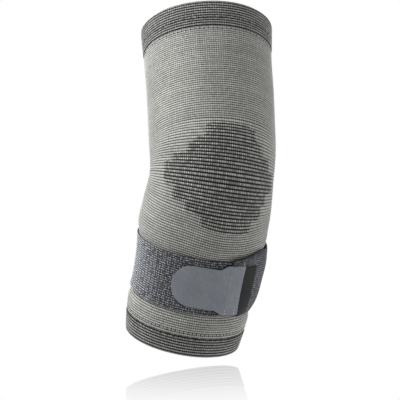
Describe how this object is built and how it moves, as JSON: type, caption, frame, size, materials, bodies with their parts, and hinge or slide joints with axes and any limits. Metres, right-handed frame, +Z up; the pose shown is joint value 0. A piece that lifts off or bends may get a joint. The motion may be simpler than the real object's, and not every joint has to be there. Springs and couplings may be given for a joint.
{
  "type": "elbow support",
  "caption": "Bent tubular knitted elbow support with folded welts, a stepped panel over the elbow point and a lapped forearm strap closed by a hook tab.",
  "frame": {"origin": "on the arm's centreline at the middle of the elbow's bend", "axes": "+Z up along the upper arm at the elbow, -Y out of the elbow point, +X to the right of someone facing the elbow point"},
  "size_m": [0.0948, 0.1249, 0.249],
  "materials": {
    "plain_knit": "fine striped compression knit, warm light grey",
    "panel_knit": "bold ribbed knit, near-black rows between grey dotted rows",
    "welt_knit": "double knit with dark and light stripes",
    "loop_fabric": "slate grey elastic with loop pile",
    "tab_fabric": "smooth grey hook tape backing",
    "label_weave": "plain black woven tape"
  },
  "bodies": {
    "root": {"sleeve": "plain_knit", "elbow_panel": "panel_knit", "upper_welt": "welt_knit", "lower_welt": "welt_knit", "strap": "loop_fabric", "hook_tab": "tab_fabric", "side_label": "label_weave"}
  },
  "joints": []
}
